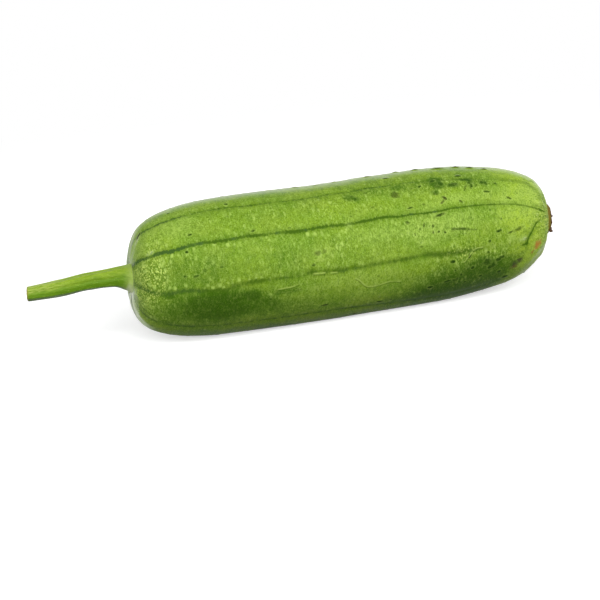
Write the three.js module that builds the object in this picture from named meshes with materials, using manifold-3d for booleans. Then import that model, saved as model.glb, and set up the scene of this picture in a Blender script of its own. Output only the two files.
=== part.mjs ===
// A sponge gourd (smooth loofah) as picked, lying on its side: the fruit, the cut
// length of stalk that it hung from, and the dry scar where the flower sat.
// Millimetres, +Z up. The fruit lies along X with its stem towards -X.

import * as THREE from "three";
import { mergeVertices } from "three/addons/utils/BufferGeometryUtils.js";
import Module from "manifold-3d";

// Driving dimensions of the fruit.
const FRUIT_LENGTH = 257.6; // shoulder to the end of the blossom nub
const FRUIT_RADIUS = 40.1; // at the fullest place
const REST_DEPTH = 0.6; // how far its own weight flattens the underside
const SHOULDER_LEAN = 0.1; // the stem end's underside reaches out this much per mm of height
const SHOULDER_FADE = 18; // the lean dies away over this length
const NUB_RADIUS = 8.9; // the stub that carried the flower

// Driving dimensions of the stem.
const STEM_LENGTH = 60.5;
const STEM_RADIUS = 4.9; // at the cut end
const STEM_FLARE_RADIUS = 9.8; // where it spreads onto the shoulder
const STEM_RIBS = 5;
const STEM_RIB_SHARE = 0.055; // rib height over the stem's radius
const STEM_SEAT = 1.6; // its base starts this deep and is trimmed to the shoulder

// Driving dimensions of the dry scar on the nub.
const SCAR_RADIUS = 8.1;
const SCAR_THICKNESS = 1.8;
const SCAR_POINTS = 5; // stumps of the five withered petals

const JOINT_GAP = 0.3; // clearance between neighbouring pieces

// The fruit's outline: distance from the shoulder over its length, radius over the fullest radius.
const FRUIT_OUTLINE = [
  [0, 0.3],
  [0.001, 0.37],
  [0.008, 0.53],
  [0.0235, 0.7],
  [0.047, 0.806],
  [0.078, 0.885],
  [0.125, 0.949],
  [0.195, 0.989],
  [0.31, 1.0],
  [0.45, 0.997],
  [0.58, 1.0],
  [0.7, 0.993],
  [0.78, 0.955],
  [0.84, 0.893],
  [0.891, 0.826],
  [0.9305, 0.717],
  [0.9615, 0.587],
  [0.98, 0.417],
  [0.9865, 0.331],
];

// The fruit's centre line sweeps up a little towards both ends, and its tip droops: share of its length, rise.
const FRUIT_SWEEP = [
  [0, 1.1],
  [0.12, 0.9],
  [0.23, 0.5],
  [0.5, 0],
  [0.73, 0.4],
  [0.89, 1.2],
  [0.95, 1.0],
  [1, -0.4],
];

// The stem's outline from the shoulder to the cut: share of its length, radius.
const STEM_OUTLINE = [
  [0, STEM_FLARE_RADIUS],
  [0.022, 8.7],
  [0.045, 7.5],
  [0.076, 6.8],
  [0.14, 5.85],
  [0.22, 5.4],
  [0.36, 5.1],
  [0.6, 4.9],
  [0.97, STEM_RADIUS],
  [1, STEM_RADIUS - 0.3],
];

// The stem leaves square to the shoulder, a little above its middle, arches over and bends to the back.
const STEM_ROUTE = [
  [0, 0, 1.5],
  [-11.6, 0.2, 2.8],
  [-23.6, 0.9, 2.65],
  [-41.6, 3, 0.35],
  [-STEM_LENGTH, 6.4, -1.15],
];

const fruitSweep = new THREE.CatmullRomCurve3(
  FRUIT_SWEEP.map(([share, rise]) => new THREE.Vector3(share * FRUIT_LENGTH, 0, rise)),
);

const wasm = await Module();
wasm.setup();

// A mesh's geometry as a solid that can be cut.
function solidFrom(geometry) {
  const bare = geometry.clone();
  bare.deleteAttribute("normal");
  bare.deleteAttribute("uv");
  const merged = mergeVertices(bare, 1e-3);
  return new wasm.Manifold(
    new wasm.Mesh({
      numProp: 3,
      vertProperties: merged.attributes.position.array,
      triVerts: new Uint32Array(merged.index.array),
    }),
  );
}

// A cut solid as a geometry again.
function geometryFrom(solid) {
  const mesh = solid.getMesh();
  const geometry = new THREE.BufferGeometry();
  geometry.setAttribute("position", new THREE.BufferAttribute(mesh.vertProperties, 3));
  geometry.setIndex(new THREE.BufferAttribute(mesh.triVerts, 1));
  geometry.computeVertexNormals();
  return geometry;
}

// A smooth curve through an outline's points, closed onto the axis at both ends, as a lathe profile.
function latheProfile(outline, stepsBetweenPoints) {
  const curve = new THREE.SplineCurve(outline.map(([along, radius]) => new THREE.Vector2(radius, along)));
  const points = curve.getPoints(stepsBetweenPoints * (outline.length - 1));
  const first = points[0];
  const last = points[points.length - 1];
  return [new THREE.Vector2(0, first.y), ...points, new THREE.Vector2(0, last.y)];
}

// Turns a profile (radius, distance along) round a centre line. shape(radius, along, angle) gives the
// radius at that angle, with angle 0 level to the side and a quarter turn straight up.
function turnedAlong(profile, sides, centreLine, length, shape) {
  const geometry = new THREE.LatheGeometry(profile, sides);
  const position = geometry.attributes.position;
  for (let i = 0; i < position.count; i++) {
    const along = position.getY(i);
    const across = new THREE.Vector2(position.getX(i), position.getZ(i));
    const angle = across.angle();
    const radius = shape(across.length(), along, angle);
    const share = THREE.MathUtils.clamp(along / length, 0, 1);
    const tangent = centreLine.getTangentAt(share);
    const side = tangent.clone().cross(new THREE.Vector3(0, 0, 1)).normalize();
    const upward = side.clone().cross(tangent);
    const point = centreLine
      .getPointAt(share)
      .addScaledVector(side, radius * Math.cos(angle))
      .addScaledVector(upward, radius * Math.sin(angle));
    position.setXYZ(i, point.x, point.y, point.z);
  }
  return geometry;
}

function finish(name, color, roughness, geometry) {
  const material = new THREE.MeshStandardMaterial({ color, roughness, metalness: 0 });
  const mesh = new THREE.Mesh(geometry, material);
  mesh.name = name;
  return mesh;
}

// The fruit: blunt at the shoulder, tapering longer towards the blossom, and flat only where it rests.
function fruitBody() {
  const body = FRUIT_OUTLINE.map(([along, radius]) => [along * FRUIT_LENGTH, radius * FRUIT_RADIUS]);
  const nub = [
    [FRUIT_LENGTH - 2.6, NUB_RADIUS + 2.1],
    [FRUIT_LENGTH - 1.6, NUB_RADIUS + 0.5],
    [FRUIT_LENGTH - 0.5, NUB_RADIUS],
    [FRUIT_LENGTH, NUB_RADIUS - 0.5],
  ];
  const profile = latheProfile([...body, ...nub], 2);
  const oval = (radius, along, angle) => radius * (1 + 0.006 * Math.cos(2 * angle - 0.7));
  const geometry = turnedAlong(profile, 64, fruitSweep, FRUIT_LENGTH, oval);
  const position = geometry.attributes.position;
  for (let i = 0; i < position.count; i++) {
    const lean = SHOULDER_LEAN * Math.exp(-position.getX(i) / SHOULDER_FADE);
    position.setX(i, position.getX(i) + lean * position.getZ(i));
  }
  geometry.computeBoundingBox();
  const floor = geometry.boundingBox.min.z + REST_DEPTH;
  const ground = new THREE.BoxGeometry(2 * FRUIT_LENGTH, 4 * FRUIT_RADIUS, 2 * FRUIT_RADIUS);
  ground.translate(FRUIT_LENGTH / 2, 0, floor - FRUIT_RADIUS);
  return solidFrom(geometry).subtract(solidFrom(ground));
}

// The stem: a ribbed stalk that is cut square at its end and seated on the fruit's sloping shoulder.
function stem(fruit) {
  const profile = latheProfile(
    STEM_OUTLINE.map(([share, radius]) => [share * STEM_LENGTH, radius]),
    3,
  );
  const route = new THREE.CatmullRomCurve3(STEM_ROUTE.map((point) => new THREE.Vector3(...point)));
  const ribbed = (radius, along, angle) => radius * (1 + STEM_RIB_SHARE * Math.cos(STEM_RIBS * angle));
  const geometry = turnedAlong(profile, 30, route, STEM_LENGTH, ribbed);
  const base = fruitSweep.getPointAt(0);
  geometry.translate(base.x + STEM_SEAT, base.y, base.z);
  return solidFrom(geometry).subtract(fruit.translate([-JOINT_GAP, 0, 0]));
}

// The scar: a dry, corky disc with a worn rim and the stumps of the petals round it.
function blossomScar() {
  const rim = SCAR_THICKNESS * 0.45;
  const profile = latheProfile(
    [
      [0, SCAR_RADIUS - 0.5],
      [rim, SCAR_RADIUS],
      [SCAR_THICKNESS, SCAR_RADIUS - 1.4],
      [SCAR_THICKNESS - 0.3, SCAR_RADIUS * 0.5],
      [SCAR_THICKNESS - 0.5, SCAR_RADIUS * 0.2],
    ],
    3,
  );
  const outward = fruitSweep.getTangentAt(1);
  const seat = fruitSweep.getPointAt(1).addScaledVector(outward, JOINT_GAP);
  const route = new THREE.LineCurve3(seat, seat.clone().addScaledVector(outward, SCAR_THICKNESS));
  const stumps = (radius, along, angle) => radius * (1 + 0.07 * Math.cos(SCAR_POINTS * angle + 0.6));
  return turnedAlong(profile, 30, route, SCAR_THICKNESS, stumps);
}

const fruit = fruitBody();
const gourd = new THREE.Group();
gourd.add(
  finish("fruit_body", "#86a83e", 0.5, geometryFrom(fruit)),
  finish("stem", "#7f9d35", 0.45, geometryFrom(stem(fruit))),
  finish("blossom_scar", "#5b4026", 0.85, blossomScar()),
);

// The origin is on the surface that the gourd rests on, under the middle of the whole.
const box = new THREE.Box3().setFromObject(gourd);
const middle = box.getCenter(new THREE.Vector3());
gourd.position.set(-middle.x, -middle.y, -box.min.z);

export default gourd;
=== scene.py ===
"""A sponge gourd as picked: the fruit's skin, its cut stem and its dry blossom scar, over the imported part."""

import math

import bpy
import numpy as np
from bpy.props import FloatProperty, FloatVectorProperty, IntProperty, PointerProperty
from mathutils import Matrix, Vector, noise


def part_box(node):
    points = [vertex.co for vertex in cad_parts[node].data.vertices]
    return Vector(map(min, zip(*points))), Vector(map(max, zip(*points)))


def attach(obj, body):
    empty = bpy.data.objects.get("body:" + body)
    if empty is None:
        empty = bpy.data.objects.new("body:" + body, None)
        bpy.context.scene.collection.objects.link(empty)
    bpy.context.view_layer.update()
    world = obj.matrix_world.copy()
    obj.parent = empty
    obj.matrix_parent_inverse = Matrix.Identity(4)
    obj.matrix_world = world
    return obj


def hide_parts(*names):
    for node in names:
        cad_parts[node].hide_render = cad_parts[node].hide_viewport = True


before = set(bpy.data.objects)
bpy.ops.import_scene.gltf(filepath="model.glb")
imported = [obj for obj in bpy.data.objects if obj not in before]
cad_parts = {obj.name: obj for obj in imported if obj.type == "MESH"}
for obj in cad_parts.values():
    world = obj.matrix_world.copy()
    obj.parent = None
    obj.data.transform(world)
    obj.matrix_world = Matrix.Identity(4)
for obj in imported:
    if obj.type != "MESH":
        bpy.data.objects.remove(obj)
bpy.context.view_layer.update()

bl_info = {
    "name": "Sponge Gourd",
    "version": (1, 0, 0),
    "blender": (4, 5, 0),
    "location": "3D View > Sidebar > Gourd",
    "description": "Builds a sponge gourd with its stem, blossom scar, skin and a plain stage",
    "category": "Object",
}

FRUIT_LOW, FRUIT_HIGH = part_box("fruit_body")

MM = 0.001
WHITE = (1, 1, 1, 1)
LENGTH = 257.6  # shoulder to the end of the nub, mm
RADIUS = 500 * (FRUIT_HIGH.y - FRUIT_LOW.y)  # mm
SHOULDER = Vector((FRUIT_LOW.x + 1.26 * MM, 0, FRUIT_HIGH.z - 40.25 * MM))
SHOULDER_LEAN = 0.1  # the stem end's underside reaches out this much per mm of height
SHOULDER_FADE = 18  # and less so over this length, mm
BLOSSOM_LEAN = 0.11  # the blossom end's upper side reaches out this much per mm of height
LEAN_ABOVE = (226, 24)  # in the upper half from here on, growing over this length, mm
LEAN_BELOW = (247.5, 5)  # the same in the lower half
REST_START = 0.4  # the underside flattens below this height, mm
REST_LOWEST = 0.05  # and stays above this one

# The fruit's outline: share of its length from the shoulder, share of its radius.
OUTLINE = [
    (0, 0.0), (0, 0.3), (0.001, 0.37), (0.008, 0.53), (0.0235, 0.7), (0.047, 0.806), (0.078, 0.885),
    (0.125, 0.949), (0.195, 0.989), (0.31, 1.0), (0.45, 0.997), (0.58, 1.0), (0.7, 0.993), (0.78, 0.955),
    (0.84, 0.893), (0.891, 0.826), (0.9305, 0.717), (0.9615, 0.587), (0.98, 0.417), (0.9848, 0.331),
    (0.9872, 0.276), (0.9912, 0.241), (0.9968, 0.229), (1, 0.213), (1, 0.0),
]
# The rise of its centre line: share of its length, mm.
SWEEP = [(0, 1.1), (0.12, 0.9), (0.23, 0.5), (0.5, 0), (0.73, 0.4), (0.89, 1.2), (0.95, 1.0), (1, -0.4)]

# Where one side of it is fuller or slimmer than a turned form: mm from the shoulder, mm along it either way,
# mm out, and how far up, as the sine of the angle from the front, it begins and is full.
SWELLINGS = [
    (226, 18, 1.5, -0.4, -0.8),
    (74, 26, 0.5, 0.3, 0.8),
    (236.5, 3.5, 0.3, -0.2, -0.6),
    (245.5, 2.5, -0.35, -0.2, -0.6),
    (250.5, 1.5, 0.4, 0.0, -0.4),
]

# Its unevenness: share of the setting, how big a swelling is along X, Y and Z in mm, shift of the noise.
UNEVENNESS = [(1.0, (46, 30, 30), 0.0), (0.4, (13, 17, 17), 5.1)]

# The dark lines along it: mm from the shoulder, degrees up from the front.
LINES = [
    [(0, 100), (1.2, 93), (2.5, 86), (4.4, 79.6), (7, 75.5), (12.4, 71.5), (18, 70.3), (23, 69.2),
     (40, 69.4), (59, 68.9), (73, 67.2), (87, 67.2), (101, 66.3), (110, 66.8), (118, 68.1), (129, 67.3),
     (142, 68.7), (153, 67.9), (162, 68.6), (172, 67.2), (180, 66), (192, 65.4), (205, 63.4), (218, 62.5),
     (231, 60.4), (238, 61), (241.7, 57.2), (245, 48.6), (247.4, 39.7), (250, 34), (257, 30)],
    [(0, 49), (0.3, 45), (0.9, 41.5), (3.4, 38), (8.8, 35), (14, 35.2), (20.4, 34), (28.8, 35), (36.8, 36),
     (44, 35.2), (54, 34.9), (63, 35.8), (74, 34.9), (86, 34.7), (96, 33.4), (104, 34.2), (114, 34.4),
     (123, 33.5), (135, 34.1), (146, 35), (155, 34), (165, 33.6), (172, 33), (180, 32.9), (188, 33.7),
     (200, 33.5), (214, 32.4), (226.6, 30.7), (237.5, 27.1), (243, 23.8), (252, 19), (257, 17)],
    [(0, 4), (0.3, 0.9), (1.9, -1), (4.4, -2.6), (7.5, -4.6), (12, -5.2), (17, -5.7), (20.4, -4.9),
     (27.4, -3.8), (34, -4.9), (46.7, -6.4), (55.7, -4.2), (63.2, -3.2), (73, -2.6), (86, -3.5), (95, -2.5),
     (100, -1.8), (107.5, -3.2), (115, -3.5), (122.6, -3.9), (132, -3.6), (142, -3.1), (151, -3.2),
     (160, -2.6), (168, -2.2), (178, -4.0), (192, -5.2), (201, -5.8), (210, -6.0), (220, -10),
     (229.5, -13.2), (232.6, -13.0), (233.8, -11.6), (234.7, -6.6), (236.1, -3.3), (237.9, 0.7),
     (240.8, 7.5), (243.6, 10.4), (250, 13), (257, 14)],
    [(0, -34), (3, -40), (12, -43), (50, -45), (93, -45.3), (122, -46.3), (152, -49.8), (194, -52.3),
     (230, -48), (257, -32)],
    [(0, -78), (25, -87), (100, -88), (180, -90), (232, -86), (257, -78)],
    [(0, -116), (25, -123), (90, -125), (167, -123), (232, -126), (257, -120)],
    [(0, -156), (25, -162), (100, -160), (180, -163), (232, -160), (257, -155)],
    [(0, 168), (25, 163), (90, 161), (167, 164), (232, 160), (257, 168)],
    [(0, 134), (25, 131), (100, 132), (180, 129), (232, 131), (257, 127)],
    [(0, 114), (12, 105), (25, 101), (90, 100), (167, 102), (232, 97), (257, 84)],
]
# How wide and how dark the first four lines are: mm from the shoulder, half its width in mm, darkness.
LINE_WEIGHTS = [
    [(0, 0.6, 0.5), (5, 0.8, 0.7), (25, 0.65, 0.75), (34, 0.5, 0.62), (60, 0.5, 0.72), (72, 0.6, 0.72),
     (88, 0.55, 0.58), (100, 0.6, 0.72), (116, 0.6, 0.6), (135, 0.65, 0.7), (148, 0.6, 0.8),
     (160, 0.6, 0.5), (172, 0.6, 0.55), (180, 0.6, 0.45), (190, 0.6, 0.3), (200, 0.5, 0.55),
     (207, 0.5, 0.5), (213, 0.6, 0.2), (225, 1.2, 0.34), (232, 1.4, 0.36), (240, 1.5, 0.36),
     (247, 1.1, 0.28), (257, 0.5, 0.2)],
    [(0, 0.7, 0.9), (3, 0.9, 0.9), (8, 0.7, 0.62), (12, 1.15, 0.95), (20, 1.1, 0.95), (30, 0.95, 0.9),
     (42, 0.85, 0.75), (51, 0.95, 0.85), (60, 0.85, 0.7), (67, 0.9, 0.85), (80, 0.8, 0.72),
     (91, 0.95, 0.85), (100, 0.8, 0.95), (112, 0.9, 0.92), (121, 0.9, 0.7), (126, 0.9, 0.6),
     (131, 0.85, 0.95), (147, 0.85, 0.95), (160, 0.65, 0.9), (171, 0.65, 0.95), (180, 0.55, 0.85),
     (195, 0.5, 0.75), (211, 0.5, 0.75), (220, 0.45, 0.6), (230, 0.45, 0.65), (239, 0.45, 0.6),
     (242, 0.5, 0.6), (244, 0.7, 0.9), (246.5, 0.6, 0.8), (249, 0.4, 0.3), (257, 0.3, 0.1)],
    [(0, 0.8, 0.8), (5, 1.1, 0.8), (10, 0.9, 0.75), (17, 1.3, 0.85), (26, 1.1, 0.75), (36, 0.9, 0.85),
     (44, 0.8, 0.65), (51, 1.0, 0.8), (59, 1.3, 0.6), (66, 1.4, 0.95), (76, 0.7, 0.8), (86, 0.8, 0.7),
     (93, 0.7, 0.65), (99, 1.0, 0.85), (107, 0.9, 0.7), (115, 1.2, 0.95), (123, 0.9, 0.7), (132, 0.9, 0.7),
     (142, 0.9, 0.7), (150, 0.9, 0.85), (157, 0.9, 0.85), (164, 0.8, 0.65), (171, 1.2, 0.95),
     (180, 1.4, 1.0), (188, 1.2, 0.85), (196, 1.0, 0.7), (206, 0.9, 0.4), (214, 0.6, 0.15),
     (228, 0.5, 0.15), (230, 0.6, 0.6), (232.6, 0.9, 1.0), (234.5, 0.7, 0.95), (240, 0.5, 0.85),
     (245, 0.4, 0.3), (257, 0.4, 0.3)],
    [(0, 0.7, 0.6), (77, 0.6, 0.65), (180, 0.7, 0.75), (215, 0.5, 0.35), (235, 0.5, 0.15), (257, 0.5, 0.3)],
]
# The same for every line on the side that is turned away.
HIDDEN_WEIGHT = [(0, 0.9, 0.8), (40, 0.8, 0.85), (130, 0.65, 0.7), (205, 0.5, 0.5), (257, 0.5, 0.6)]
# The pale beads beside each line, partly pale bumps and partly a painted highlight on the groove's lit lip: how
# strong, and on its upper side above nought or its lower side below it.
LINE_BEADS = [0.25, -1.0, 1.0, 0.5]
# How far each line's edge spreads, mm.
LINE_SPREADS = [0.45, 0.45, 1.1, 0.6]

# Patches of deeper and paler skin: mm from the shoulder, degrees up from the front, length and width in
# mm, and how deep it is, or below zero how pale. Some paint light and shade: the dark patches low on the
# side are partly the skin's own deep green and partly painted shadow, and the palest strips along the
# edges are painted reflection.
PATCHES = [
    (52, -22, 58, 19, 1.3), (94, -34, 44, 14, 0.6), (86, -15.5, 15, 3.4, 0.8), (64, -14, 8, 5, 0.9),
    (40, -14, 34, 10, 0.8), (30, -32, 50, 18, 0.6), (136, 76, 130, 14, 0.35), (32, 86, 60, 16, -0.35),
    (106, 52, 62, 14, 0.25), (30, 13, 48, 20, 0.65), (90, 17, 60, 15, 0.2), (150, 62, 60, 14, 0.2),
    (192, 62, 54, 14, 0.45), (184, 62.6, 7, 8, 1.5), (185.5, 58, 5, 3, 0.8), (184, 66.5, 5, 3, 0.6),
    (193.2, 57.4, 6.4, 3.4, 1.5), (202, 63, 9, 2.2, 1.1), (204, 58, 6, 7, 0.7), (212.6, 57, 5, 5.5, 0.9),
    (219.6, 55.3, 2.4, 2, 0.9), (181, 50.7, 5, 4, 0.8), (129.5, 60, 5, 6, 0.8), (134, 56.5, 4, 3, 0.9),
    # Low on the side, (192, -34) and (118, -76) are partly painted shadow.
    (150, 62, 40, 8, 0.35), (192, -34, 72, 26, 1.4), (118, -76, 212, 24, 0.8), (228, -46, 20, 13, -0.8),
    (190, -40, 50, 14, 0.6), (200, -22, 16, 8, 0.7), (211, -25, 7, 5, 0.8), (220, -30, 20, 12, 0.15),
    (190, -4, 46, 5, 0.35), (150, -46, 60, 12, 0.4), (122, 11, 8, 6, 0.35), (60, 6, 46, 14, 0.2),
    # (0.3, 20) is painted shade in the crease round the stem's collar; (200, -54) is partly painted shadow.
    (88, 4, 36, 9, 0.25), (200, -54, 50, 20, 1.0), (233, -26, 10, 5, 0.1), (0.3, 20, 0.9, 24, 1.1),
    (170, 50, 24, 8, 0.2), (161, 63, 8, 5, 0.5), (182, 18, 46, 15, -0.5), (106, 12, 16, 11, -0.7),
    (116, 46, 34, 12, -0.2), (8.5, 39, 6, 3, -1.6), (4.2, 74, 4, 4, -1.4), (231.2, -6.5, 4.4, 3.4, -1.5),
    (130, -14, 66, 10, -0.45), (134, 22, 40, 8, -0.3), (190, 44, 30, 7, -0.55), (112, 1, 10, 3, -0.6),
    # Painted reflection: the pale strips at 100 to 104 degrees up run along the top edge, where the skin turns
    # away.
    (20, 58, 44, 18, -0.3), (60, 104, 130, 8, -1.5), (170, 104, 130, 8, -1.7), (226, 100, 40, 8, -1.5),
    (226, 42, 40, 16, -0.45), (160, 24, 60, 24, -0.25), (125.5, 33, 5, 4, -1.2), (165.9, 8.6, 4, 2, -1.0),
    # (237, 80) is a painted highlight near the top edge by the blossom end.
    (204, -4, 6, 4, -0.7), (222, -3, 5, 3.4, -0.9), (228, -7, 2.6, 3.4, -0.9), (237, 80, 8, 4, -1.5),
    (20, 58, 40, 16, -0.35), (224, -4, 24, 10, -0.3), (240, -20, 12, 16, -0.3), (150, -2, 60, 8, -0.3),
    # (0.2, -54) to (12, -60): the pale spur below the stem, partly the skin's own and partly painted light
    # lifting its shaded side.
    (0.2, -54, 3.4, 36, -3.2), (1.0, -62, 4, 18, -1.8), (3.5, -62, 6, 12, -1.0), (12, -60, 12, 12, -0.8),
    # Painted reflection along the edges: (1.5, 100), (250, -34), (241, -50) and (247, 66) here and (229, -60)
    # on the next line.
    (1.5, 100, 8, 16, -1.2), (250, -34, 7, 20, -1.3), (241, -50, 24, 16, -1.4), (247, 66, 12, 14, -1.0),
    (229, -60, 26, 9, -1.4), (205, -18, 7, 5, 0.7), (17, -9, 6, 3, 0.8), (244, 40, 22, 30, -0.5),
    # (138, -30) is painted light that lifts the shade low in the middle.
    (228, 20, 24, 20, -0.35), (138, -30, 56, 10, -0.5),
]
# Where the skin's mottling is stronger, in the same way.
BUSY = [
    (8, 13, 20, 26, 1.3), (5, -16, 12, 22, 0.6), (249, 8, 17, 32, 1.5), (189, -5, 22, 8, 1.0),
    (196, -28, 66, 30, 0.6), (190, 62, 60, 14, 0.5), (180, 18, 46, 16, 0.6), (120, 10, 40, 30, 0.4),
    (60, 48, 50, 20, 0.3), (120, 48, 40, 14, 0.4), (12, 48, 14, 10, 0.7),
]

# Warts: mm from the shoulder, degrees up from the front, length, width, tilt in degrees, height, darkness,
# brownness.
WARTS = [
    (156.9, 80.6, 4.2, 2.2, 0, 0.5, 0.7, 0.2), (132.0, 60.2, 2.2, 1.6, 0, 0.3, 0.65, 0),
    (133.9, 57, 1.8, 1.4, 0, 0.2, 0.5, 0), (157.2, 55, 5.6, 4.8, 0, 0.3, 0.6, 0.35),
    (141.4, 61.9, 1.8, 1.5, 0, 0.3, 0.6, 0), (173.4, 60.4, 3.8, 1.7, 38, 0.4, 0.75, 0),
    (182.4, 65.4, 3.6, 2.2, 20, 0.4, 0.5, 0), (186.4, 60.4, 3.0, 3.4, 0, 0.4, 0.5, 0),
    (193.2, 57.2, 6.0, 2.4, 12, 0.4, 0.5, 0.1), (198.8, 68.4, 4.2, 2.4, 0, 0.7, 0.85, 0.1),
    (202.0, 62.6, 7.6, 1.3, -4, 0.3, 0.6, 0), (203.6, 58.6, 1.6, 4.4, -30, 0.3, 0.5, 0),
    (199.8, 51.8, 1.7, 4.8, -30, 0.35, 0.85, 0.1), (204.0, 53.2, 1.6, 5.2, -30, 0.35, 0.75, 0),
    (207.3, 53.5, 1.4, 3.6, -30, 0.3, 0.55, 0), (211.4, 57.4, 1.8, 3.2, 0, 0.35, 0.55, 0),
    (213.6, 56.2, 2.0, 3.4, 10, 0.35, 0.5, 0), (216.0, 56.0, 1.8, 1.6, 0, 0.25, 0.4, 0),
    (219.6, 55.3, 2.0, 1.8, 0, 0.3, 0.55, 0), (107.0, -35.8, 5.0, 1.8, 0, 0.3, 0.9, 0.3),
    (131.5, 57.0, 4.4, 3.6, 0, 0.2, 0.3, 0), (195.1, -9.6, 1.9, 2.8, 0, 0.3, 0.95, 0.1),
    (169.2, 22.6, 1.6, 3.4, -15, 0.2, 0.6, 0.1), (207.3, -11.0, 2.4, 2.0, 0, 0.25, 0.7, 0),
    (181.0, 50.2, 3.4, 2.8, 0, 0.35, 0.45, 0.2), (185.4, 44.4, 3.8, 1.8, -50, 0.35, 0.95, 0.4),
    (183.9, 41.2, 4.8, 1.8, 38, 0.3, 0.95, 0.5), (172.0, 41.1, 2.2, 1.8, 0, 0.25, 0.45, 0),
    (194.6, 39.2, 3.0, 1.5, -38, 0.3, 0.85, 0.2), (212.2, 46.0, 4.2, 1.7, -12, 0.35, 0.7, 0),
    (211.2, 27.5, 1.6, 1.8, 0, 0.2, 0.5, 0), (140.6, 62, 2.2, 1.8, 0, 0.2, 0.4, 0),
    (142, 45.5, 2.0, 1.8, 0, 0.2, 0.4, 0), (206.5, -20.5, 4.6, 3.6, 0, 0.3, 0.5, 0),
    (210.4, -25.5, 4.0, 3.4, 20, 0.3, 0.5, 0), (216.4, -19.4, 3.4, 2.0, 0, 0.3, 0.6, 0),
    (225.2, 37.6, 3.6, 1.6, -28, 0.3, 0.7, 0.1), (163.5, 39.6, 4.2, 1.4, 6, 0.35, 0.75, 0),
    (159.8, 27.1, 2.6, 2.2, 0, 0.3, 0.6, 0.1), (180.2, 29.4, 6.6, 1.9, 12, 0.4, 1.0, 0.15),
    (166.4, 20.1, 1.6, 2.2, 0, 0.2, 0.5, 0), (163.1, 16.6, 1.6, 2.0, 0, 0.2, 0.55, 0),
    (174.6, 21, 1.6, 3.0, -10, 0.25, 0.8, 0.1), (173.9, 16.1, 1.6, 2.4, 0, 0.2, 0.6, 0.2),
    (177.4, 15.7, 1.8, 1.8, 0, 0.2, 0.8, 0), (181.0, 14.3, 1.8, 1.8, 0, 0.25, 0.75, 0.1),
    (214.9, 7.2, 3.8, 1.9, 0, 0.4, 1.0, 0), (222.5, 3.8, 4.4, 1.5, 16, 0.35, 0.6, 0.05),
    (227.9, 5.4, 6.2, 2.3, 16, 0.4, 0.55, 0.05), (208.3, -0.5, 2.2, 1.9, 0, 0.3, 0.9, 0),
    (217.4, 18.0, 1.6, 1.6, 0, 0.2, 0.5, 0), (184.2, -11.9, 3.8, 2.3, -10, 0.45, 1.0, 0),
    (194.6, -11, 3.0, 1.2, 20, 0.25, 0.6, 0), (197.0, -22.2, 2.4, 2.2, 0, 0.3, 0.9, 0),
    (202.6, -34.4, 2.6, 2.0, 0, 0.3, 0.8, 0), (181.4, -30.9, 5.2, 1.8, 10, 0.4, 0.9, 0),
    (171.1, -34.6, 3.4, 2.2, 0, 0.4, 0.95, 0), (140.9, -43.2, 4.6, 1.8, 0, 0.35, 0.8, 0),
    (220.0, -47.2, 4.0, 3.0, 0, 0.4, 0.9, 0), (215.0, -36.0, 2.8, 2.2, 0, 0.3, 0.8, 0),
    (208.0, -27.0, 2.4, 2.2, 0, 0.3, 0.75, 0), (190.0, -27.0, 2.0, 1.8, 0, 0.25, 0.7, 0),
    (193.0, -37.0, 2.4, 1.8, 0, 0.25, 0.7, 0), (186.0, -21.0, 1.8, 1.6, 0, 0.2, 0.6, 0),
    (165.9, 5.6, 2.4, 1.6, 0, 0.3, 0.6, 0), (59.0, 74, 2.4, 2.2, 0, 0.35, 1.0, 0),
    (33.1, 45.3, 3.2, 1.6, 10, 0.3, 0.75, 0), (69.3, 39.5, 3.0, 1.6, 10, 0.3, 0.85, 0),
    (29.3, 30.1, 2.0, 1.9, 0, 0.25, 0.85, 0), (47.7, 13.1, 2.6, 1.5, 0, 0.25, 0.6, 0),
    (26.5, 9.1, 3.0, 1.5, 0, 0.25, 0.55, 0), (32.6, 8.2, 3.4, 1.5, 8, 0.25, 0.8, 0),
    (25.1, 81.7, 2.6, 1.8, 0, 0.35, 0.8, 0), (5.0, 77.4, 3.4, 1.9, 38, 0.4, 0.95, 0.5),
    (213.9, -21.0, 3.6, 2.2, -10, 0.3, 0.7, 0), (205.9, -18.7, 1.9, 3.0, 0, 0.3, 0.7, 0),
    (104.0, 13.4, 4.0, 2.8, 0, 0.3, 0.5, 0.3), (108.2, 14.0, 2.6, 2.4, 0, 0.2, 0.4, 0.3),
    (101.0, 4.2, 2.2, 2.0, 0, 0.25, 0.6, 0), (37.8, 12.1, 3.0, 2.2, 0, 0.2, 0.4, 0),
    (139.0, 66, 2.2, 1.7, 0, 0.3, 0.6, 0), (165.9, 96, 4.4, 2.6, 0, 0.7, 0.7, 0.5),
    (177.7, 93.4, 5.4, 2.8, 0, 0.8, 0.75, 0.4), (190.8, 89, 8.0, 3.0, 0, 0.75, 0.7, 0.4),
    (202.1, 90, 5.0, 3.0, 0, 0.9, 0.8, 0.5), (210.2, 87, 4.6, 2.8, 0, 0.85, 0.85, 0.5),
    (218.6, 83, 4.0, 2.4, 0, 0.6, 0.75, 0.3), (148.0, 94, 5.4, 2.4, 0, 0.6, 0.6, 0.6),
    (128.0, 95, 4.4, 2.2, 0, 0.5, 0.55, 0.6), (104.0, 95, 5.6, 2.4, 0, 0.55, 0.6, 0.6),
    (88.0, 96, 4.4, 2.2, 0, 0.4, 0.5, 0.5), (116.0, 92, 3.4, 2.0, 0, 0.4, 0.5, 0.4),
    (60.0, 97, 4.0, 2.2, 0, 0.4, 0.5, 0.5), (44.0, 98, 3.4, 2.0, 0, 0.35, 0.5, 0.4),
    (28.0, 98, 3.4, 2.0, 0, 0.3, 0.5, 0.4),
]
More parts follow.
